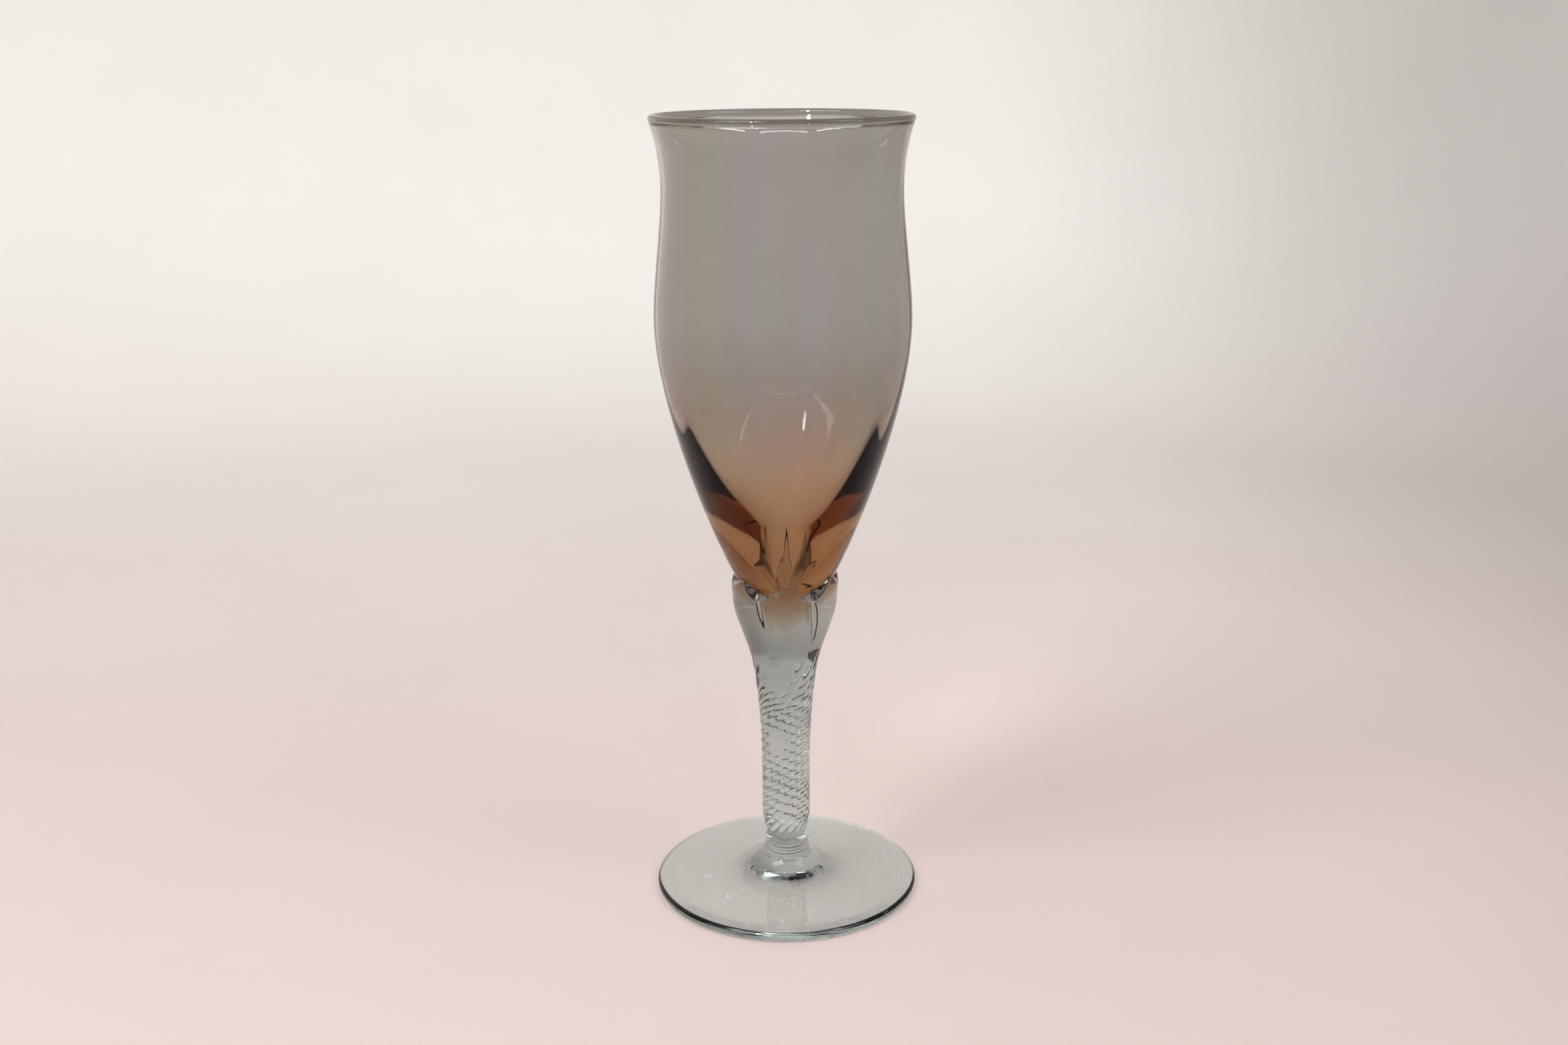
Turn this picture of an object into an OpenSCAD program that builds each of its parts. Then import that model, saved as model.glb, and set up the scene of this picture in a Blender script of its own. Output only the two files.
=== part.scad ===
// Champagne flute of four pieces of glass sealed to each other while hot:
// a smoky tulip bowl with a solid root, a clear calyx whose petals hold that
// root, a clear stem of twisted ribs and a clear disc foot.
// +Z is up. The origin is the middle of the foot's resting face.

/* [Overall] */
// Height from the resting face to the top of the lip
total_h = 200; // [195:1:212]

/* [Bowl] */
// Outside diameter of the lip
lip_d = 63.6; // [62:0.2:66]
// Radius of the fire-polished bead on the lip
lip_bead_r = 1; // [0.8:0.1:1.3]
// Distance of the waist below the top of the lip
waist_drop = 16.7; // [14:0.1:20]
// Outside diameter of the waist under the lip
waist_d = 58.3; // [56:0.1:60]
// Height of the widest part
belly_z = 151.4; // [148:0.2:156]
// Outside diameter of the widest part
belly_d = 63.2; // [62:0.2:66]
// Thickness of the blown wall above the widest part
wall_t = 1.2; // [1:0.1:1.6]
// Diameter of the hollow where it tapers down as a cone
cone_d = 25.4; // [24.6:0.1:26.4]
// Height at which the hollow has that diameter
cone_z = 103; // [101:0.2:105]
// Height of the bottom of the hollow
hollow_z = 84; // [83:0.5:88]
// Outside diameter where the bowl goes into the calyx
mouth_d = 24.2; // [23.6:0.1:24.6]
// Height at which the bowl goes into the calyx
mouth_z = 85; // [84.5:0.1:85.5]
// Height of the lowest point of the solid root
root_z = 73; // [71:0.5:75]

/* [Calyx] */
// Number of petals
petals = 6; // [5:1:8]
// Outside diameter of the calyx at its shoulder
shoulder_d = 26.2; // [25.8:0.1:27]
// Height of the shoulder
shoulder_z = 80.5; // [79:0.5:81]
// Height of the petal tips
petal_tip_z = 87.2; // [86.4:0.1:88]
// Height of the valleys between the petals
petal_valley_z = 82.4; // [81.5:0.1:83.5]
// Direction of the petal nearest the front, about +Z from +X
petal_turn = -83.5; // [-120:0.5:0]

/* [Stem] */
// Diameter at the top, where the calyx ends
stem_top_d = 17; // [16:0.1:18]
// Height of the top of the stem
stem_top_z = 62.5; // [60:0.5:65]
// Diameter of the middle of the stem, over the ribs
stem_mid_d = 12.6; // [12:0.1:13.6]
// Diameter of the neck, where the stem joins the foot
neck_d = 10.8; // [10:0.1:11.6]
// Height of the neck
neck_z = 14; // [13:0.5:15]
// Number of twisted ribs
ribs = 15; // [10:1:18]
// Depth of the valleys between the ribs
rib_depth = 0.35; // [0.2:0.05:0.6]
// Height in which the ribs make one turn
rib_lead = 39; // [30:1:60]

/* [Foot] */
// Diameter of the foot
foot_d = 68.8; // [66:0.2:74]
// Thickness of the foot's rounded edge
edge_t = 2.4; // [2:0.1:3]
// Height of the foot's top where the hump around the stem begins
hump_z = 4.3; // [4:0.1:4.8]
// Height of the shallow hollow under the foot
arch_h = 2.2; // [1:0.1:2.6]
// Width of the flat ring that the foot rests on
rest_w = 3; // [2:0.5:5]

/* [Hidden] */
smoky_rose = [0.62, 0.50, 0.45, 0.75];
clear_glass = [0.72, 0.75, 0.72, 0.6];
round_steps = 128;   // sides of a preview circle
curve_steps = 12;    // straight steps in one stretch of an outline
rib_sides = 4;       // points round one rib
ring_count = 36;     // rings of points up the stem
fade_h = 5;          // height in which the ribs die away at each end
neck_share = 0.14;   // share of the stem in which it narrows to the neck
flare_from = 0.3;    // share of the stem at which it starts to flare upwards
flare_power = 2.6;   // how late that flare comes
slow_z = 46;         // height above which the ribs turn more slowly
slow_h = 40;         // how gently they slow down
tip_spread = 0.7;    // how far a petal tip stands out beyond the shoulder
tip_bulge = 0.1;     // how far the petals stand out halfway up
waist_z = total_h - waist_drop;

// Handles of the outline's stretches: how far each one pulls, and which way
flank_pull = [3, 4.4];     // out of the calyx, up the bowl's flank
belly_low_pull = [0, 24];  // below the widest part, outside
belly_top_pull = [0, 8.6]; // above the widest part, towards the waist
waist_pull = [0, 8.7];     // below the waist
throat_pull = [0, 5];      // above the waist, towards the lip
lip_pull = [1.4, 4.1];     // under the lip, where the wall flares
hollow_pull = [0, 13.4];   // below the widest part, inside
cone_up_pull = [12.6, 17.8]; // up the hollow's cone
cone_low_pull = [10.3, 15]; // down the hollow's cone, towards its tip
tip_w = 1.6;               // how blunt the tip of the cone is
root_w = 1.2;              // how blunt the solid root is
root_pull = [5.6, 4.8];    // from the bowl's mouth down its root
cup_pull = [1.4, 6.5];     // out of the stem, up the calyx
cup_top_pull = [0, 6];     // below the calyx's shoulder
hump_r = 16.5;             // where the hump around the stem fades out
hump_pull = [8.5, -1.2];   // along the foot's top, towards the hump
neck_pull = [0, 5.4];      // down the hump from the neck

// One stretch of an outline, from a to d with the handles b and c
function stretch(a, b, c, d) = [
    for (i = [0:curve_steps])
        let (t = i / curve_steps, u = 1 - t)
        u * u * u * a + 3 * u * u * t * b + 3 * u * t * t * c + t * t * t * d
];

// Points along an arc round centre c
function arc(c, r, from, to) = [
    for (i = [0:curve_steps])
        let (a = from + (to - from) * i / curve_steps)
        c + r * [cos(a), sin(a)]
];

// Smooth step from 0 to 1
function ease(t) = let (s = min(max(t, 0), 1)) s * s * (3 - 2 * s);

// The outline's stations, as [radius, height]
lip_under = [lip_d / 2 - 0.3, total_h - 1.9];
lip_inside = [lip_d / 2 - 0.4 - wall_t, total_h - 2];
waist = [waist_d / 2, waist_z];
belly = [belly_d / 2, belly_z];
mouth = [mouth_d / 2, mouth_z];
cone = [cone_d / 2, cone_z];
wall = [wall_t, 0];

// The outside of the solid root, from its lowest point to the bowl's mouth
function root_side() =
    stretch([0, root_z], [root_w, root_z], mouth - root_pull, mouth);

// The outside of the bowl from the calyx to just under the lip
function bowl_side() = concat(
    stretch(mouth, mouth + flank_pull, belly - belly_low_pull, belly),
    stretch(belly, belly + belly_top_pull, waist - waist_pull, waist),
    stretch(waist, waist + throat_pull, lip_under - lip_pull, lip_under)
);

// The inside of the bowl, from just under the lip to the tip of the hollow
function hollow_side() = concat(
    stretch(lip_inside, lip_inside - lip_pull, waist - wall + throat_pull, waist - wall),
    stretch(waist - wall, waist - wall - waist_pull, belly - wall + belly_top_pull, belly - wall),
    stretch(belly - wall, belly - wall - hollow_pull, cone + cone_up_pull, cone),
    stretch(cone, cone - cone_low_pull, [tip_w, hollow_z], [0, hollow_z])
);

// The round bead on the lip, over the top from the outside to the inside
function lip_bead() =
    arc([lip_d / 2 - lip_bead_r, total_h - lip_bead_r], lip_bead_r, -35, 215);

// Bowl: one revolved wall with a bead on its lip and a solid root
module bowl() {
    color(smoky_rose)
        rotate_extrude($fn = round_steps)
            polygon(concat(root_side(), bowl_side(), lip_bead(), hollow_side()));
}

// The calyx's outside, from the top of the stem to the height of the petal tips
function calyx_side() =
    let (low = [stem_top_d / 2, stem_top_z], shoulder = [shoulder_d / 2, shoulder_z])
    concat(
        stretch(low, low + cup_pull, shoulder - cup_top_pull, shoulder),
        [[shoulder_d / 2 + tip_bulge, (shoulder_z + petal_tip_z) / 2],
         [shoulder_d / 2 + tip_spread, petal_tip_z]]
    );

// The bowl's own outside, which fills the calyx
module bowl_core() {
    rotate_extrude($fn = round_steps)
        polygon(concat(root_side(), bowl_side(), [[0, total_h]]));
}

// Calyx: a bulb of clear glass with scooped valleys between its petals
module calyx() {
    half_gap = (shoulder_d / 2 + tip_spread) * sin(180 / petals);
    rise = petal_tip_z - petal_valley_z;
    scoop_r = (half_gap * half_gap + rise * rise) / (2 * rise);
    color(clear_glass)
        difference() {
            rotate_extrude($fn = round_steps)
                polygon(concat([[0, stem_top_z]], calyx_side(), [[0, petal_tip_z]]));
            bowl_core();
            for (i = [0:petals - 1])
                rotate([0, 0, petal_turn + (i + 0.5) * 360 / petals])
                    translate([0, 0, petal_valley_z + scoop_r])
                        rotate([0, 90, 0])
                            cylinder(r = scoop_r, h = shoulder_d, $fn = 64);
        }
}

// Stem radius without the ribs, from the neck (t = 0) to the top (t = 1)
function stem_r(t) =
    stem_mid_d / 2
    - (stem_mid_d - neck_d) / 2 * (1 - ease(t / neck_share))
    + (stem_top_d - stem_mid_d) / 2 * pow(max(t - flare_from, 0) / (1 - flare_from), flare_power);

// Angle that the ribs have turned through, slower towards the top
function rib_turn(z) =
    360 / rib_lead * (z - neck_z - pow(max(z - slow_z, 0), 2) / slow_h);

// Depth of the rib pattern at one height: nothing at either end
function rib_fade(z) = ease((z - neck_z) / fade_h) * ease((stem_top_z - z) / fade_h);

// One point of the stem's surface
function stem_point(ring, side) =
    let (t = ring / ring_count,
         z = neck_z + t * (stem_top_z - neck_z),
         turn = 360 * side / (ribs * rib_sides),
         r = stem_r(t) - rib_depth * rib_fade(z) * (1 - abs(sin(turn * ribs / 2))),
         a = turn + rib_turn(z))
    [r * cos(a), r * sin(a), z];

// Stem: rings of points that follow the twisted ribs
module stem() {
    sides = ribs * rib_sides;
    color(clear_glass)
        polyhedron(
            points = [for (ring = [0:ring_count], side = [0:sides - 1]) stem_point(ring, side)],
            faces = concat(
                [[for (side = [0:sides - 1]) side]],
                [for (ring = [0:ring_count - 1], side = [0:sides - 1])
                    let (low = ring * sides, next = (side + 1) % sides)
                    [low + side, low + sides + side, low + sides + next]],
                [for (ring = [0:ring_count - 1], side = [0:sides - 1])
                    let (low = ring * sides, next = (side + 1) % sides)
                    [low + side, low + sides + next, low + next]],
                [[for (side = [sides - 1:-1:0]) ring_count * sides + side]]
            )
        );
}

// The foot's top, from the neck of the stem out over the hump
function foot_top() =
    let (neck = [neck_d / 2, neck_z], skirt = [hump_r, hump_z])
    stretch(neck, neck - neck_pull, skirt - hump_pull, skirt);

// The shallow hollow under the foot, from the resting ring to the middle
function foot_arch() =
    let (r = foot_d / 2 - edge_t / 2 - rest_w)
    stretch([r, 0], [r * 0.75, 0], [r * 0.4, arch_h], [0, arch_h]);

// The foot's round edge, from its top down to the resting face
function foot_edge() = arc([foot_d / 2 - edge_t / 2, edge_t / 2], edge_t / 2, 86, -90);

// Foot: a shallow cone with a round edge, hollowed underneath
module foot() {
    color(clear_glass)
        rotate_extrude($fn = round_steps)
            polygon(concat([[0, neck_z]], foot_top(), foot_edge(), foot_arch()));
}

bowl();
calyx();
stem();
foot();
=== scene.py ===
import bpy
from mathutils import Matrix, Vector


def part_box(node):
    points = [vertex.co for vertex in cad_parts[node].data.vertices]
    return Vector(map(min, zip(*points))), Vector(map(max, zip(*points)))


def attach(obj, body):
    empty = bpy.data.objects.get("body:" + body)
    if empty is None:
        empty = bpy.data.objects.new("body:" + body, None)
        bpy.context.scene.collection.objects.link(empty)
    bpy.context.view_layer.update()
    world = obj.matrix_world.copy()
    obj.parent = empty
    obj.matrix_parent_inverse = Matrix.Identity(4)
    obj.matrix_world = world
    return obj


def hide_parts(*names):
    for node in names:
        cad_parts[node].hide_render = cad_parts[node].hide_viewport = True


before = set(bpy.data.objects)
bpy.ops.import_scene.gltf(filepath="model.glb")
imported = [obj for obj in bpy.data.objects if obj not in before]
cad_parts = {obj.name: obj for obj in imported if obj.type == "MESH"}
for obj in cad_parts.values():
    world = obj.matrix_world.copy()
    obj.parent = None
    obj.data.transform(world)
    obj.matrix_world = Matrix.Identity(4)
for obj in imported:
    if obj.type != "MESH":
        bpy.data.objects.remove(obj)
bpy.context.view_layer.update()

# Champagne flute: four pieces of glass that were sealed to each other while hot.
# Outlines are [radius, height] in millimetres. Sizes that the frame doesn't give repeat
# the CAD model's. The folds, waves and creases of the hand-worked glass are only here.

import math

import bpy
import numpy as np
from mathutils import Matrix, Vector

MM = 0.001
TAU = 2 * math.pi


def node_span(node):
    """Lowest height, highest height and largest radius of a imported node, in millimetres."""
    low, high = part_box(node)
    return low.z / MM, high.z / MM, high.x / MM


# ---------------------------------------------------------------- sizes
root_z, total_h, lip_r = node_span("bowl")
stem_low, stem_top_z, stem_top_r = node_span("stem")
foot_r = node_span("foot")[2]
seam_gap = 0.02          # between two pieces that are sealed together

# Bowl
lip_bead_r = 1
wall_t = 1.2
waist = np.array([29.15, 183.3])
belly = np.array([31.6, 151.4])
mouth = np.array([12.1, 85])
cone = np.array([12.7, 103])
hollow_z = 84
wall = np.array([wall_t, 0])
lip_under = np.array([lip_r - 0.3, total_h - 1.9])
lip_inside = np.array([lip_r - 0.4 - wall_t, total_h - 2])
bead_from, bead_to = -35, 215            # directions of the bead's ends, in degrees

# Handles of the outlines, as in the CAD model's own outline
flank_pull = np.array([3, 4.4])
belly_low_pull = np.array([0, 24])
belly_top_pull = np.array([0, 8.6])
waist_pull = np.array([0, 8.7])
throat_pull = np.array([0, 5])
lip_pull = np.array([1.4, 4.1])
hollow_pull = np.array([0, 13.4])
cone_up_pull = np.array([12.6, 17.8])
cone_low_pull = np.array([10.3, 15])
tip_w = 1.6
root_w = 1.2
root_pull = np.array([5.6, 4.8])

# Unevenness of the hollow's wall: the heights at which each kind begins, is deepest and
# ends, and how deep it goes
folds_span, folds_depth = (83.5, 87.5, 96), 0.14
panels_span, panels_depth = (92, 135, 199), 0.07
drift_span, drift_depth = (88, 118, 150), 0.12
calm_r = 4               # radius below which it fades, towards the hollow's tip
least_r = 0.02           # of the ring round that tip

# Calyx
shoulder = np.array([13.1, 80.5])
cup_pull = np.array([1.4, 6.5])
cup_top_pull = np.array([0, 6])
tip_spread = 0.7
side_rise = 7.5          # how far the calyx's side goes on above its shoulder
# Top edge of the calyx round its circle: directions in degrees from +X, heights of
# the petal tips, of the valleys between them and of one small notch in the front petal
petal_marks = [
    (-142, 86.6), (-118, 82.2), (-102.5, 85.2), (-98, 84.5), (-85.5, 87.0), (-63.5, 82.1),
    (-31, 87.6), (-4, 84.8), (26, 87.2), (55, 82.3), (86, 87.0), (117, 82.4),
    (146, 86.8), (184, 84.4),
]
valley_soft = 0.12       # how round the bottom of a valley is
deep_valley_z = 83       # valleys lower than this go on down the side as creases
crease_half = math.radians(5)            # how far a crease reaches to each side
crease_depth = 0.9
crease_low_z, crease_h = 65, 15
crease_lean, crease_lean_z = 0.012, 84   # turn per millimetre of height, and where it is 0
swell, swell_low_z, swell_h = 0.3, 70, 9 # how far the bulb stands out, and where it starts
edge_drop = 0.9          # height in which the petals' edge rounds over
edge_drop_valley = 0.3   # how much less it is in the valleys
edge_lip = 0.55          # how high that round edge stands, at most
follow_low_z, follow_high_z = 77, 94     # part of the bowl that follows the petals' edge

# Stem
stem_mid_r = 6.3
neck_r = 5.4
neck_z = stem_low
ribs = 15
rib_depth = 0.35
rib_lead = 39
rib_top_z = 65.6         # where the ribs end, on average
fade_h = 5
rib_end_h = 2            # height in which they die away there
rib_sharp = 1.2          # how narrow the valleys between them are
neck_share = 0.14
flare_from = 0.3
flare_power = 2.6
slow_z = 46
slow_h = 40

# Foot
edge_t = 2.4
edge_end = 86            # direction in which the round edge meets the foot's top
hump = np.array([16.5, 4.3])
arch_h = 2.2
rest_w = 3
hump_pull = np.array([8.5, -1.2])
neck_pull = np.array([0, 5.4])

# Columns of the meshes. The bowl and the calyx share theirs, because they share a seam.
bowl_columns = 288
stem_columns = ribs * 18
foot_columns = 240
surround_columns = 96
sharp_angle = math.radians(35)   # edges sharper than this aren't shaded smooth


# ---------------------------------------------------------------- outlines
def stretch(a, b, c, d, steps):
    """Points along one stretch of an outline, from a to d with the handles b and c."""
    t = np.linspace(0, 1, steps + 1)[:, None]
    u = 1 - t
    a, b, c, d = (np.array(p, float) for p in (a, b, c, d))
    return u**3 * a + 3 * u * u * t * b + 3 * u * t * t * c + t**3 * d


def arc(centre, radius, start, end, steps):
    """Points along an arc, with its directions in degrees."""
    turn = np.radians(np.linspace(start, end, steps + 1))
    return np.array(centre, float) + radius * np.stack([np.cos(turn), np.sin(turn)], 1)


def joined(*parts):
    """One outline from several that meet end to end."""
    return np.concatenate([parts[0]] + [part[1:] for part in parts[1:]])


def ease(t):
    """Smooth step from 0 to 1."""
    t = np.clip(t, 0, 1)
    return t * t * (3 - 2 * t)


def hill(x, low, top, high):
    """Rises smoothly from 0 at low to 1 at top, and back to 0 at high."""
    return np.where(x < top, ease((x - low) / (top - low)), ease((high - x) / (high - top)))


def directions(columns):
    """The directions of a mesh's columns, in radians."""
    return np.arange(columns) * TAU / columns


def round_grid(outline, columns):
    """Radius, height and direction of every point of a turned shape, one row per outline point."""
    shape = (len(outline), columns)
    radius = np.broadcast_to(outline[:, :1], shape).copy()
    height = np.broadcast_to(outline[:, 1:], shape).copy()
    return radius, height, np.broadcast_to(directions(columns), shape).copy()


def off_angle(angle, middle):
    """Signed difference between directions, in radians, from -pi to pi."""
    return (angle - middle + math.pi) % TAU - math.pi


# ---------------------------------------------------------------- mesh
def grid_points(radius, height, angle):
    """A flat list of points from a grid of radii, heights and directions."""
    ring = np.stack([radius * np.cos(angle), radius * np.sin(angle), height], -1)
    return ring.reshape(-1, 3)


def add_object(name, data):
    """A new object in the scene that holds a mesh, a light or a camera."""
    made = bpy.data.objects.new(name, data)
    bpy.context.scene.collection.objects.link(made)
    return made


def skin(name, radius, height, angle, low_pole, high_pole, seam_rows):
    """A closed smooth skin over a grid of points that runs from one pole to the other.

    seam_rows says which rows of faces are sealed to the next piece of glass."""
    rows, columns = radius.shape
    poles = [[0, 0, low_pole], [0, 0, high_pole]]
    points = np.concatenate([grid_points(radius, height, angle), poles]) * MM
    here = np.arange(columns)
    after = (here + 1) % columns
    faces = [[rows * columns, b, a] for a, b in zip(here, after)]
    marks = [seam_rows[0]] * columns
    for row in range(rows - 1):
        low, high = row * columns, (row + 1) * columns
        faces += np.stack([low + here, low + after, high + after, high + here], 1).tolist()
        marks += [seam_rows[row + 1]] * columns
    last = (rows - 1) * columns
    faces += [[last + a, last + b, rows * columns + 1] for a, b in zip(here, after)]
    marks += [seam_rows[rows]] * columns
    mesh = bpy.data.meshes.new(name)
    mesh.from_pydata(points.tolist(), [], faces)
    mesh.polygons.foreach_set("use_smooth", [True] * len(faces))
    layer = mesh.attributes.new("seam", "FLOAT", "FACE")
    layer.data.foreach_set("value", np.array(marks, np.float32))
    mesh.update()
    mesh.set_sharp_from_angle(angle=sharp_angle)
    return add_object(name, mesh)


# ---------------------------------------------------------------- petals
def petal_edge(angle):
    """Height of the calyx's top edge: pointed petals with round valleys between them."""
    marks = [(math.radians(a), z) for a, z in petal_marks]
    marks.append((marks[0][0] + TAU, marks[0][1]))
    turn = (angle - marks[0][0]) % TAU + marks[0][0]
    edge = np.zeros_like(turn)
    for (a, za), (b, zb) in zip(marks, marks[1:]):
        share = (turn - a) / (b - a)
        tip_side = share if za > zb else 1 - share
        tip, valley = max(za, zb), min(za, zb)
        drop = np.sqrt(np.sin(tip_side * math.pi / 2) ** 2 + valley_soft**2) - valley_soft
        drop /= math.sqrt(1 + valley_soft**2) - valley_soft
        inside = (share >= 0) & (share <= 1)
        edge = np.where(inside, tip - (tip - valley) * drop, edge)
    return edge


def fold_depth(angle):
    """1 in the deep valleys between petals, falling to 0 beside them."""
    depth = np.zeros_like(angle)
    for before, mark, after in zip(petal_marks[-1:] + petal_marks, petal_marks,
                                   petal_marks[1:] + petal_marks[:1]):
        if mark[1] < min(before[1], after[1], deep_valley_z):
            off = off_angle(angle, math.radians(mark[0]))
            depth += np.exp(-((off / crease_half) ** 2))
    return depth


# ---------------------------------------------------------------- bowl
outer_flank = stretch(mouth, mouth + flank_pull, belly - belly_low_pull, belly, 70)
root_side = stretch([0, root_z], [root_w, root_z], mouth - root_pull, mouth, 40)
outer_side = joined(root_side, outer_flank)
blunt_points = 3         # points at the root's tip, where the outside isn't a slope yet


def outer_r(height):
    """The bowl's outside radius at a height between its root and its belly."""
    side = outer_side[blunt_points:]
    return np.interp(height, side[:, 1], side[:, 0])


def bowl_grid():
    """Points of the bowl from its root over the lip to the hollow's tip, and the last row
    that is sealed into the calyx."""
    outline = joined(
        outer_side[1:],
        stretch(belly, belly + belly_top_pull, waist - waist_pull, waist, 24),
        stretch(waist, waist + throat_pull, lip_under - lip_pull, lip_under, 20),
    )
    bead = arc([lip_r - lip_bead_r, total_h - lip_bead_r], lip_bead_r, bead_from, bead_to, 26)
    hollow = joined(
        stretch(lip_inside, lip_inside - lip_pull, waist - wall + throat_pull, waist - wall, 20),
        stretch(waist - wall, waist - wall - waist_pull, belly - wall + belly_top_pull,
                belly - wall, 24),
        stretch(belly - wall, belly - wall - hollow_pull, cone + cone_up_pull, cone, 70),
        stretch(cone, cone - cone_low_pull, [tip_w, hollow_z], [0, hollow_z], 50),
    )[:-1]
    outside = len(outline) + len(bead) // 2
    radius, height, angle = round_grid(np.concatenate([outline, bead, hollow]), bowl_columns)

    # The rows near the calyx's top edge follow the petals
    out = slice(0, len(outline))
    sway = hill(height[out], follow_low_z, mouth[1], follow_high_z)
    moved = height[out] + (petal_edge(angle[out]) - mouth[1]) * sway
    near = (height[out] > follow_low_z) & (height[out] < follow_high_z)
    radius[out] = np.where(near, outer_r(moved), radius[out])
    height[out] = moved

    # Inside, nine small folds near the tip, twelve faint panels and a slow drift of three waves
    inner = slice(outside, None)
    z, a = height[inner], angle[inner]
    folds = folds_depth * hill(z, *folds_span) * np.cos(9 * a + 0.9 * np.sin(a * 2 + 1))
    panels = panels_depth * hill(z, *panels_span) * np.cos(12 * a + 0.4)
    drift = drift_depth * hill(z, *drift_span) * np.cos(3 * a + 0.16 * z + 0.7)
    uneven = (folds - panels + drift) * ease(radius[inner] / calm_r)
    radius[inner] = np.maximum(radius[inner] + uneven, least_r)
    return radius, height, angle, len(root_side) - 2


def make_bowl():
    radius, height, angle, seam_row = bowl_grid()
    seams = [1.0 if row <= seam_row else 0.0 for row in range(len(radius) + 1)]
    return skin("bowl_glass", radius, height, angle, root_z, hollow_z, seams)


# ---------------------------------------------------------------- calyx
def rib_turn(z):
    """How far the ribs have turned at a height, in radians: slower towards the top."""
    return TAU / rib_lead * (z - neck_z - np.maximum(z - slow_z, 0) ** 2 / slow_h)


def rib_cut(angle, z):
    """Depth of the valleys between the twisted ribs, which end unevenly at the top."""
    end_z = rib_top_z + 0.9 * np.cos(4 * angle + 1) + 0.6 * np.cos(7 * angle + 2)
    fade = ease((z - neck_z) / fade_h) * ease((end_z - z) / rib_end_h)
    across = np.abs(np.sin((angle - rib_turn(z)) * ribs / 2))
    uneven = 1 + 0.4 * np.sin(2 * angle + 0.35 * z) + 0.35 * np.cos(3 * angle - 0.27 * z + 1)
    return rib_depth * fade * uneven * (1 - across) ** rib_sharp


def make_calyx():
    low = np.array([stem_top_r, stem_top_z])
    side = joined(stretch(low, low + cup_pull, shoulder - cup_top_pull, shoulder, 60),
                  np.array([shoulder, shoulder + [tip_spread, side_rise]]))
    angle = directions(bowl_columns)
    edge = petal_edge(angle)
    inner_r = outer_r(edge) + seam_gap
    ledge = edge - edge_drop + edge_drop_valley * fold_depth(angle)

    # The side, from the stem up to where the petals' edge rounds over
    rows_r, rows_z = [], []
    for share in np.linspace(0, 1, 90):
        z = stem_top_z + (ledge - stem_top_z) * share
        lean = fold_depth(angle + crease_lean * (z - crease_lean_z))
        r = np.interp(z, side[:, 1], side[:, 0])
        r = r - crease_depth * lean * ease((z - crease_low_z) / crease_h)
        r = r + swell * ease((z - swell_low_z) / swell_h)
        rows_r.append(r - rib_cut(angle, z))
        rows_z.append(z)

    # The round edge, from the outside to the bowl
    edge_r = rows_r[-1]
    middle = (edge_r + inner_r) / 2
    half = (edge_r - inner_r) / 2
    for turn in np.radians(np.arange(12, 169, 12)):
        rows_r.append(middle + half * math.cos(turn))
        slope = ledge + (edge - ledge) * (1 - math.cos(turn)) / 2
        rows_z.append(slope + np.minimum(half, edge_lip) * math.sin(turn))
    top_rows = len(rows_r)

    # The cup, which follows the bowl's root down
    bowl_r, bowl_z, _, seam_row = bowl_grid()
    for row in range(seam_row, -1, -1):
        rows_r.append(bowl_r[row] + seam_gap)
        rows_z.append(bowl_z[row] - seam_gap * (0 if row == seam_row else 1))
    radius, height = np.array(rows_r), np.array(rows_z)
    seams = [1.0 if row == 0 or row > top_rows else 0.0 for row in range(len(radius) + 1)]
    grid = np.broadcast_to(angle, radius.shape)
    return skin("calyx_glass", radius, height, grid, stem_top_z, root_z - seam_gap, seams)


# ---------------------------------------------------------------- stem
def make_stem():
    rows = 300
    top = stem_top_z - seam_gap
    z = np.linspace(neck_z, top, rows)[:, None]
    t = (z - neck_z) / (stem_top_z - neck_z)
    flare = (np.maximum(t - flare_from, 0) / (1 - flare_from)) ** flare_power
    side = (stem_mid_r - (stem_mid_r - neck_r) * (1 - ease(t / neck_share))
            + (stem_top_r - stem_mid_r) * flare)
    angle = directions(stem_columns) + np.zeros_like(z) + rib_turn(z)
    height = np.broadcast_to(z, angle.shape).copy()
    radius = side - rib_cut(angle, height)
    seams = [1.0] + [0.0] * (rows - 1) + [1.0]
    return skin("stem_glass", radius, height, angle, neck_z, top, seams)


# ---------------------------------------------------------------- foot
def make_foot():
    top = neck_z - seam_gap
    edge_r = edge_t / 2
    ring = foot_r - edge_r - rest_w
    neck = np.array([neck_r, top])
    outline = joined(
        stretch([0, arch_h], [ring * 0.4, arch_h], [ring * 0.75, 0], [ring, 0], 40),
        np.array([[ring, 0], [ring + rest_w / 2, 0], [ring + rest_w, 0]]),
        arc([foot_r - edge_r, edge_r], edge_r, -90, edge_end, 24),
    )
    slope = np.linspace(outline[-1], hump, 30)[1:]
    upper = stretch(hump, hump - hump_pull, neck - neck_pull, neck, 70)
    outline = np.concatenate([outline[1:], slope, upper[1:]])
    radius, height, angle = round_grid(outline, foot_columns)
    seams = [0.0] * len(outline) + [1.0]
    return skin("foot_glass", radius, height, angle, arch_h, top, seams)


# ---------------------------------------------------------------- shader nodes
def feed(tree, socket, value):
    """Sets a socket to a plain value, or links it to another node's output."""
    if isinstance(value, bpy.types.NodeSocket):
        tree.links.new(value, socket)
    else:
        socket.default_value = value


def add(tree, kind, **sockets):
    """A shader node with its named inputs set or linked."""
    node = tree.nodes.new(kind)
    for key, value in sockets.items():
        feed(tree, node.inputs[key.replace("_", " ")], value)
    return node


def maths(tree, operation, *values, kind="ShaderNodeMath"):
    """The result of one step of arithmetic on plain values or outputs."""
    node = tree.nodes.new(kind)
    node.operation = operation
    for socket, value in zip(node.inputs, values):
        feed(tree, socket, value)
    return node.outputs[0]


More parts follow.
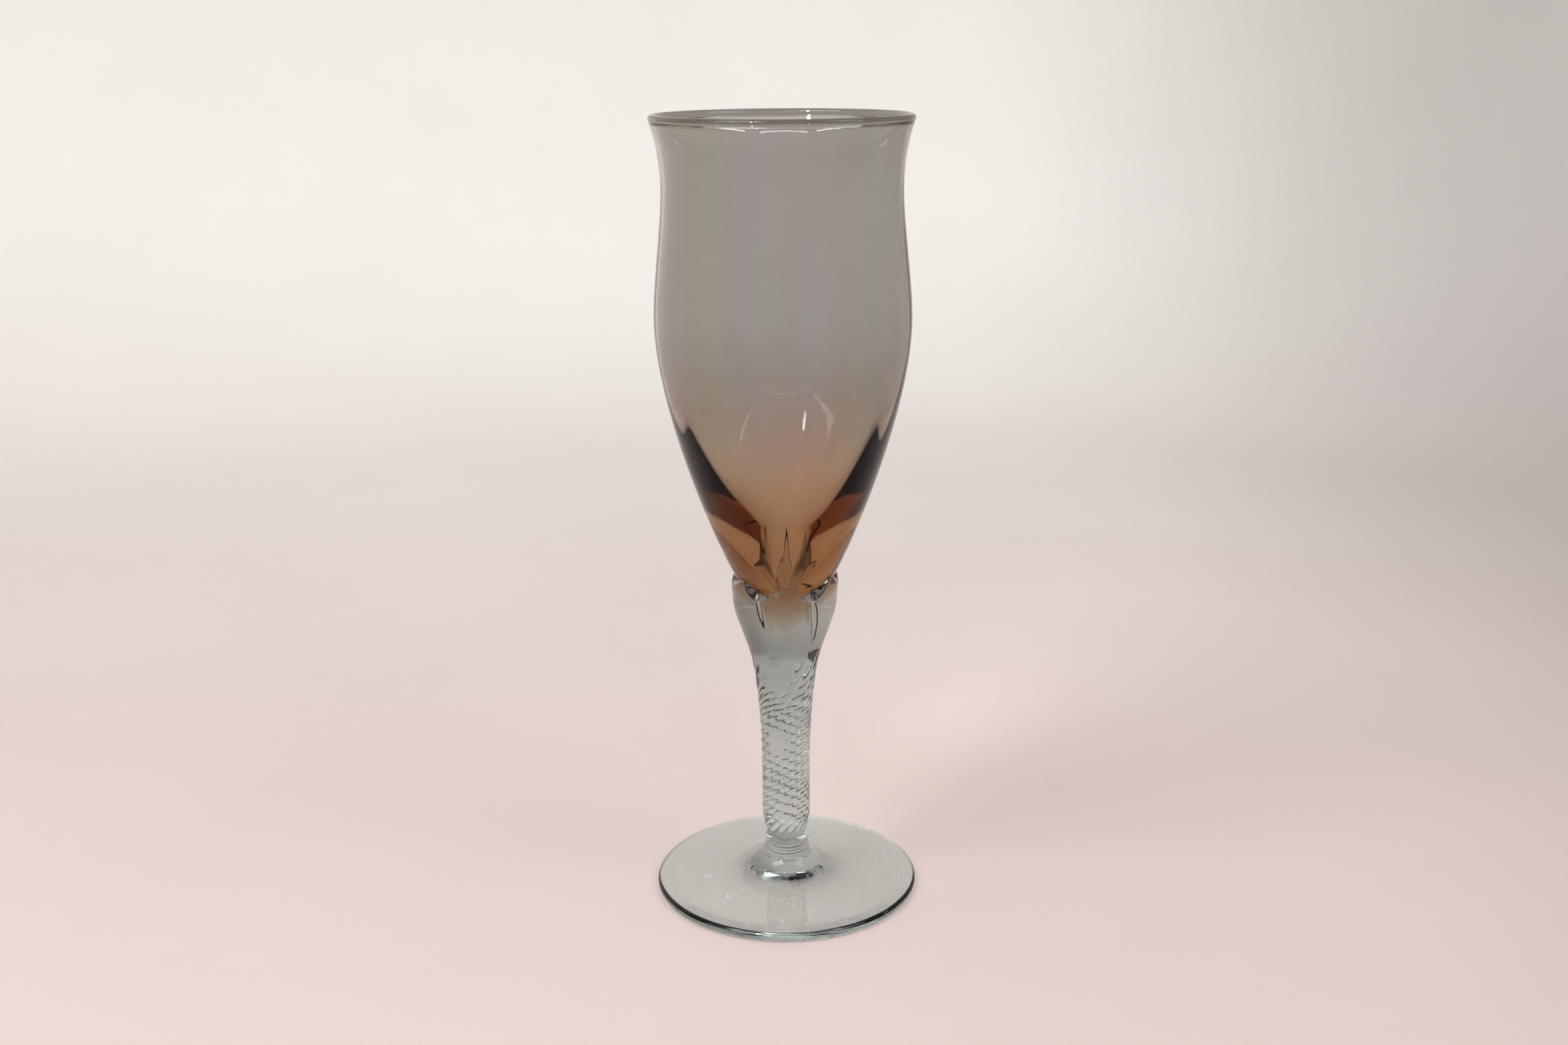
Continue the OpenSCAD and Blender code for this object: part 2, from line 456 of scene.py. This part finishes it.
def vector_maths(tree, operation, *values):
    return maths(tree, operation, *values, kind="ShaderNodeVectorMath")


def ramp(tree, source, low, high, start=0.0, end=1.0, smooth=True):
    """A value that goes from start to end while its source goes from low to high."""
    node = add(tree, "ShaderNodeMapRange", Value=source, From_Min=low, From_Max=high,
               To_Min=start, To_Max=end)
    if smooth:
        node.interpolation_type = "SMOOTHSTEP"
    return node.outputs["Result"]


def mix(tree, factor, below, above):
    """A colour between two others."""
    node = tree.nodes.new("ShaderNodeMix")
    node.data_type = "RGBA"
    for key, value in (("Factor", factor), ("A", below), ("B", above)):
        feed(tree, node.inputs[key], value)
    return node.outputs["Result"]


def rgb(red, green, blue):
    return red, green, blue, 1


def grey(value):
    return rgb(value, value, value)


def graded(tree, height, colours, steps):
    """A colour that changes smoothly with height, from the first of the colours at the
    bottom to the last one at the top. steps are the heights in millimetres between which
    it changes. One colour is the same all over."""
    result = colours[0]
    for (low, high), above in zip(steps, colours[1:]):
        result = mix(tree, ramp(tree, height, low * MM, high * MM), result, above)
    return result


# ---------------------------------------------------------------- glass
glass_ior = 1.5
air_ior = 1.0001         # of a sealed face, which must not bend light
streak_scale = 60        # of the upright streaks' pattern, per metre
streak_stretch = 0.12    # scale of their pattern up the glass, which makes them tall
warp_finer, spread_finer = 1.7, 1.3      # noises that bend and break up the hairlines,
                                         # against the scale of the hairlines themselves
hair_warp = 0.010        # how far the hairlines wander, in metres
hair_width = 0.035       # of a hairline, as a share of the cells' size
hair_gate = (0.58, 0.64) # noise values between which hairlines appear


def glass(name, tints, tint_steps, shine, shine_steps, depth_colour, density,
          wave_scale, wave_h, hair_scale, hair_rough, streak):
    """Clear or tinted glass: a tint that grades with height and a colour that deepens with
    thickness. Faces that are sealed to the next piece neither bend nor reflect light."""
    material = bpy.data.materials.new(name)
    material.use_nodes = True
    tree = material.node_tree
    shader = tree.nodes["Principled BSDF"]
    place = add(tree, "ShaderNodeTexCoord").outputs["Object"]
    height = add(tree, "ShaderNodeSeparateXYZ", Vector=place).outputs["Z"]
    seam = tree.nodes.new("ShaderNodeAttribute")
    seam.attribute_name = "seam"
    sealed = seam.outputs["Fac"]

    # Faint upright streaks, slightly pink and green in turn
    tall = add(tree, "ShaderNodeMapping", Vector=place, Scale=(1, 1, streak_stretch))
    streaks = add(tree, "ShaderNodeTexNoise", Vector=tall.outputs["Vector"],
                  Scale=streak_scale, Detail=2.0)
    mild = mix(tree, streak, grey(1), streaks.outputs["Color"])
    tint = vector_maths(tree, "MULTIPLY", graded(tree, height, tints, tint_steps), mild)
    tint = vector_maths(tree, "MULTIPLY", tint, 3 * (1 / (1 - streak / 2),))

    # Slow waves in the hand-worked surface
    waves = add(tree, "ShaderNodeTexNoise", Vector=place, Scale=wave_scale, Detail=1.5,
                Roughness=0.4)
    bump = add(tree, "ShaderNodeBump", Strength=1.0, Distance=wave_h * MM,
               Height=waves.outputs["Fac"])

    # Fine hairline marks: thin cell edges, bent and broken up by noise
    warp = add(tree, "ShaderNodeTexNoise", Vector=place, Scale=hair_scale * warp_finer,
               Detail=3.0)
    bent = vector_maths(tree, "MULTIPLY_ADD", warp.outputs["Color"], 3 * (hair_warp,), place)
    hair = add(tree, "ShaderNodeTexVoronoi", Scale=hair_scale)
    hair.feature = "DISTANCE_TO_EDGE"
    feed(tree, hair.inputs["Vector"], bent)
    line = ramp(tree, hair.outputs["Distance"], 0, hair_width, 1, 0, smooth=False)
    spread = add(tree, "ShaderNodeTexNoise", Vector=place, Scale=hair_scale * spread_finer,
                 Detail=2.0)
    gate = ramp(tree, spread.outputs["Fac"], *hair_gate, 0, hair_rough, smooth=False)

    for key, value in (
            ("Base Color", mix(tree, sealed, tint, grey(1))),
            ("Roughness", maths(tree, "MULTIPLY", line, gate)),
            ("IOR", ramp(tree, sealed, 0, 1, glass_ior, air_ior, smooth=False)),
            ("Specular Tint", graded(tree, height, shine, shine_steps)),
            ("Transmission Weight", 1.0),
            ("Normal", bump.outputs["Normal"])):
        feed(tree, shader.inputs[key], value)
    soak = add(tree, "ShaderNodeVolumeAbsorption", Color=depth_colour, Density=density)
    tree.links.new(soak.outputs["Volume"], tree.nodes["Material Output"].inputs["Volume"])
    return material


joint_tint = rgb(0.68, 0.76, 0.765)      # of the stem and the calyx where they meet
hand_worked = {"depth_colour": rgb(0.48, 0.49, 0.48), "density": 40, "wave_scale": 120,
               "wave_h": 0.05, "hair_scale": 200, "hair_rough": 0.25, "streak": 0.10}
smoky = glass(
    "smoky_glass",
    tints=(grey(0.93), rgb(0.675, 0.685, 0.70), rgb(0.40, 0.41, 0.41)),
    tint_steps=((96, 136), (197.2, 198.8)),
    shine=(rgb(0.20, 0.07, 0.04), grey(0.15), grey(0.8)),
    shine_steps=((104, 113), (184, 190)),
    depth_colour=rgb(0.71, 0.50, 0.24), density=128, wave_scale=55, wave_h=0.03,
    hair_scale=110, hair_rough=0.25, streak=0.13)
calyx_clear = glass(
    "clear_glass_calyx",
    tints=(joint_tint, rgb(0.47, 0.48, 0.47), rgb(0.74, 0.73, 0.71)),
    tint_steps=((62.5, 66.5), (66, 80)),
    shine=(grey(0.7),), shine_steps=(), **hand_worked)
stem_clear = glass(
    "clear_glass_stem",
    tints=(rgb(0.89, 1.0, 1.0), joint_tint), tint_steps=((20, 62),),
    shine=(grey(0.7),), shine_steps=(), **hand_worked)
# The foot's tint is partly its own pale green glass and partly painted shade: the plate is darker,
# standing in for the shadow under the foot that the lamp doesn't cast. It is darker still above
# the plate.
foot_clear = glass(
    "clear_glass_foot",
    tints=(rgb(0.79, 0.84, 0.83), rgb(0.54, 0.54, 0.53)), tint_steps=((3.6, 6.4),),
    shine=(grey(1), grey(0.6)), shine_steps=((3.6, 6.4),),
    depth_colour=rgb(0.6, 0.8, 0.8), density=10, wave_scale=60, wave_h=0.04,
    hair_scale=170, hair_rough=0.42, streak=0.02)

for make, node, slot, material in (
        (make_bowl, "bowl", "smoky_glass", smoky),
        (make_calyx, "calyx", "clear_glass", calyx_clear),
        (make_stem, "stem", "clear_glass", stem_clear),
        (make_foot, "foot", "clear_glass", foot_clear)):
    piece = make()
    piece.data.materials.append(material)
    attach(piece, "root")
    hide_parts(node)


# ---------------------------------------------------------------- studio
floor_r, bend_r, wall_h = 0.55, 0.35, 1.3
middle_r = 0.02          # of the floor's innermost ring
floor_drop = 0.00005     # keeps the floor clear of the foot's resting face
fleck_scale, fleck_share = 9.0, 0.03     # slow unevenness of the paper's colour
fibre_scale, fibre_h = 700.0, 0.0001     # its fibres, in metres
near_colour = rgb(0.56, 0.475, 0.45)
far_colour = rgb(0.84, 0.825, 0.785)
# Colour of the painted shade at the surround's sides and on its right
painted_shade_colour = rgb(0.28, 0.25, 0.24)
wall_share = 1.2         # how much faster the colour changes up the wall than along the floor
colour_from, colour_to = -0.12, 0.98
# Directions and distances over which the painted shade at the sides comes in
side_from, side_to = math.radians(74), math.radians(100)
reach_from, reach_to = 0.28, 0.60
# Painted shade: the surround darkens towards the right between these two distances along X, at
# most this share of the way to the shade colour
right_from, right_to, right_shade_most = 0.10, 0.50, 0.5


def paper():
    """Matt paper: pale and rosy in front, paler behind, with painted shade at the sides and
    towards the right.
    """
    material = bpy.data.materials.new("paper")
    material.use_nodes = True
    tree = material.node_tree
    shader = tree.nodes["Principled BSDF"]
    place = add(tree, "ShaderNodeTexCoord").outputs["Object"]
    x, y, z = add(tree, "ShaderNodeSeparateXYZ", Vector=place).outputs

    away = maths(tree, "MULTIPLY_ADD", z, wall_share, y)
    grade = mix(tree, ramp(tree, away, colour_from, colour_to), near_colour, far_colour)

    # Painted shade: the far floor and the wall are pale behind the flute and painted darker at the
    # sides, standing in for the dim room beyond the paper
    aside = maths(tree, "ABSOLUTE", maths(tree, "ARCTAN2", x, y))
    length = add(tree, "ShaderNodeVectorMath")
    length.operation = "LENGTH"
    feed(tree, length.inputs[0], place)
    side_shade = maths(tree, "MULTIPLY", ramp(tree, aside, side_from, side_to),
                 ramp(tree, length.outputs["Value"], reach_from, reach_to))
    # Painted shade towards the right
    right_shade = ramp(tree, x, right_from, right_to, 0, right_shade_most)
    shaded = mix(tree, maths(tree, "MAXIMUM", side_shade, right_shade), grade, painted_shade_colour)

    fleck = add(tree, "ShaderNodeTexNoise", Vector=place, Scale=fleck_scale, Detail=3.0)
    soft = ramp(tree, fleck.outputs["Fac"], 0, 1, 1 - fleck_share, 1 + fleck_share,
                smooth=False)
    colour = tree.nodes.new("ShaderNodeVectorMath")
    colour.operation = "SCALE"
    feed(tree, colour.inputs[0], shaded)
    feed(tree, colour.inputs["Scale"], soft)
    fibre = add(tree, "ShaderNodeTexNoise", Vector=place, Scale=fibre_scale, Detail=4.0)
    grain = add(tree, "ShaderNodeBump", Strength=0.3, Distance=fibre_h,
                Height=fibre.outputs["Fac"])
    for key, value in (("Base Color", colour.outputs[0]), ("Roughness", 0.9),
                       ("Specular IOR Level", 0.1), ("Normal", grain.outputs["Normal"])):
        feed(tree, shader.inputs[key], value)
    return material


def make_surround():
    """A round floor that sweeps up into a wall on every side."""
    outer = floor_r + bend_r
    outline = joined(
        np.linspace([middle_r, 0], [floor_r, 0], 24),
        arc([floor_r, bend_r], bend_r, -90, 0, 24),
        np.linspace([outer, bend_r], [outer, wall_h], 8),
    ) - [0, floor_drop]
    radius, height, angle = round_grid(outline, surround_columns)
    rows, columns = radius.shape
    points = np.concatenate([grid_points(radius, height, angle), [[0, 0, 0]]])
    here = np.arange(columns)
    after = (here + 1) % columns
    faces = [[rows * columns, a, b] for a, b in zip(here, after)]
    for row in range(rows - 1):
        low, high = row * columns, (row + 1) * columns
        faces += np.stack([low + here, high + here, high + after, low + after], 1).tolist()
    mesh = bpy.data.meshes.new("surround")
    mesh.from_pydata(points.tolist(), [], faces)
    mesh.polygons.foreach_set("use_smooth", [True] * len(faces))
    surround = add_object("surround", mesh)
    mesh.materials.append(paper())


def area_light(name, place, aim, size, power, shadow=True):
    """A flat lamp at a place, facing its aim. size is its width and height."""
    data = bpy.data.lights.new(name, "AREA")
    data.shape = "RECTANGLE"
    data.size, data.size_y = size
    data.energy = power
    data.use_shadow = shadow
    light = add_object(name, data)
    light.location = place
    light.rotation_mode = "QUATERNION"
    light.rotation_quaternion = (Vector(aim) - Vector(place)).to_track_quat("-Z", "Y")


make_surround()
stem_aim = (0, 0, 0.1)
area_light("key", (-0.62, -0.62, 0.95), stem_aim, (0.75, 0.75), 13.2)
area_light("fill", (0.7, -0.3, 0.9), stem_aim, (0.5, 0.5), 2)
# The lamp is the upright streak in the bowl, and casts no shadow through the glass
area_light("lamp", (-0.298, -0.560, 0.609), (0, 0, 0.122), (0.024, 0.08), 3.2, shadow=False)
area_light("spot", (-0.33, -0.61, 1.08), (0, 0, 0.12), (0.02, 0.03), 0.2)
# Three strips round the front are the broken line under the lip
strip_reach, strip_z, strip_h, lip_aim = 0.7, 0.506, 0.018, (0, 0, 0.194)
for name, turn, width, power in (("strip_left", -56, 0.50, 0.8),
                                 ("strip_middle", -2, 0.62, 0.5),
                                 ("strip_right", 58, 0.50, 0.8)):
    side = math.radians(turn)
    place = (strip_reach * math.sin(side), -strip_reach * math.cos(side), strip_z)
    area_light(name, place, lip_aim, (width, strip_h), power)

scene = bpy.context.scene
world = bpy.data.worlds.new("studio")
world.use_nodes = True
background = world.node_tree.nodes["Background"]
background.inputs["Color"].default_value = rgb(0.9, 0.93, 1.0)
background.inputs["Strength"].default_value = 0.95
scene.world = world

# ---------------------------------------------------------------- camera
camera_place = (-0.0001, -0.410, 0.2165)
camera_down, camera_roll = 15.95, -0.37      # degrees
camera_data = bpy.data.cameras.new("camera")
camera_data.lens = 38.72
camera = add_object("camera", camera_data)
tilt = Matrix.Rotation(math.radians(90 - camera_down), 4, "X")
roll = Matrix.Rotation(math.radians(camera_roll), 4, "Z")
camera.matrix_world = Matrix.Translation(camera_place) @ tilt @ roll
scene.camera = camera

scene.view_settings.view_transform = "Standard"
scene.view_settings.gamma = 0.85
scene.cycles.max_bounces = 32
scene.cycles.transmission_bounces = 32
scene.cycles.glossy_bounces = 8
scene.cycles.sample_clamp_indirect = 0       # no limit, which would dim the lamps' reflections
